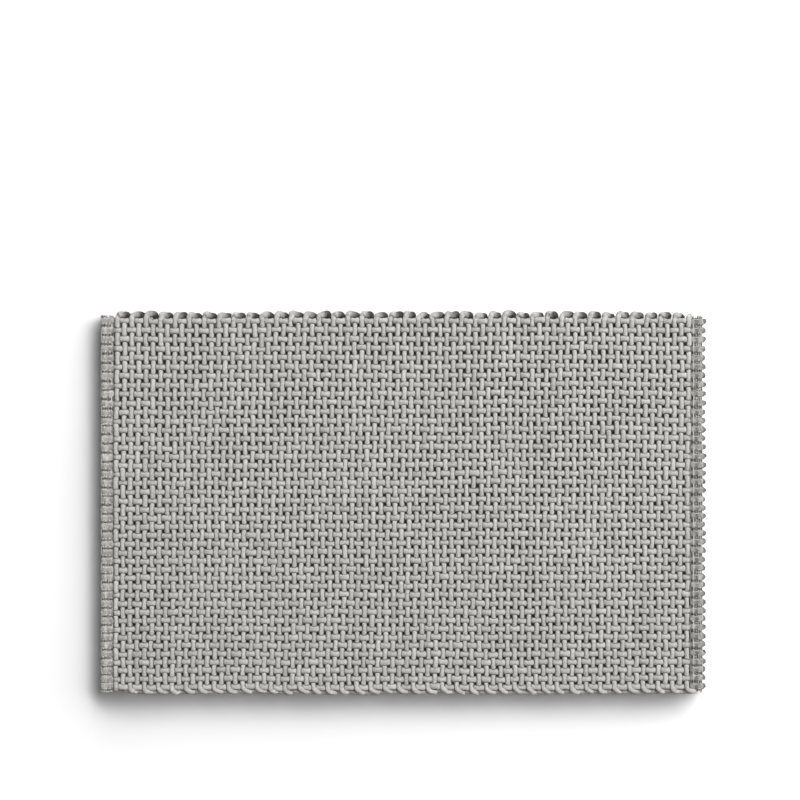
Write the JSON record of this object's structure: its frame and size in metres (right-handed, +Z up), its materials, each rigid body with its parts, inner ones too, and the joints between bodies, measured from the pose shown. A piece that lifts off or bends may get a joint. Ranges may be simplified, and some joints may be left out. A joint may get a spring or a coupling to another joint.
{
  "type": "bath mat",
  "caption": "Rectangular bath mat of thick cotton cord in plain weave, with the weft turned round both long sides and both short sides overlocked.",
  "frame": {"origin": "middle of the underside, on the floor", "axes": "+X along the mat and its warp cords, +Y across it along the weft, +Z up"},
  "size_m": [0.8, 0.505, 0.0121],
  "materials": {
    "warp_cotton": "soft matte warm grey cotton cord",
    "weft_cotton": "soft matte light grey cotton cord",
    "looper_cotton": "fine matte grey cotton thread, wrapped closely",
    "needle_cotton": "fine matte grey cotton thread, pulled tight"
  },
  "bodies": {
    "root": {"warp_cord_01": "warp_cotton", "warp_cord_02": "warp_cotton", "warp_cord_03": "warp_cotton", "warp_cord_04": "warp_cotton", "warp_cord_05": "warp_cotton", "warp_cord_06": "warp_cotton", "warp_cord_07": "warp_cotton", "warp_cord_08": "warp_cotton", "warp_cord_09": "warp_cotton", "warp_cord_10": "warp_cotton", "warp_cord_11": "warp_cotton", "warp_cord_12": "warp_cotton", "warp_cord_13": "warp_cotton", "warp_cord_14": "warp_cotton", "warp_cord_15": "warp_cotton", "warp_cord_16": "warp_cotton", "warp_cord_17": "warp_cotton", "warp_cord_18": "warp_cotton", "warp_cord_19": "warp_cotton", "warp_cord_20": "warp_cotton", "warp_cord_21": "warp_cotton", "warp_cord_22": "warp_cotton", "warp_cord_23": "warp_cotton", "warp_cord_24": "warp_cotton", "warp_cord_25": "warp_cotton", "warp_cord_26": "warp_cotton", "warp_cord_27": "warp_cotton", "warp_cord_28": "warp_cotton", "warp_cord_29": "warp_cotton", "warp_cord_30": "warp_cotton", "warp_cord_31": "warp_cotton", "warp_cord_32": "warp_cotton", "warp_cord_33": "warp_cotton", "warp_cord_34": "warp_cotton", "warp_cord_35": "warp_cotton", "warp_cord_36": "warp_cotton", "warp_cord_37": "warp_cotton", "warp_cord_38": "warp_cotton", "warp_cord_39": "warp_cotton", "warp_cord_40": "warp_cotton", "warp_cord_41": "warp_cotton", "warp_cord_42": "warp_cotton", "warp_cord_43": "warp_cotton", "weft_cord": "weft_cotton", "left_upper_looper_thread": "looper_cotton", "left_lower_looper_thread": "looper_cotton", "left_inner_needle_thread": "needle_cotton", "left_outer_needle_thread": "needle_cotton", "right_upper_looper_thread": "looper_cotton", "right_lower_looper_thread": "looper_cotton", "right_inner_needle_thread": "needle_cotton", "right_outer_needle_thread": "needle_cotton"}
  },
  "joints": []
}
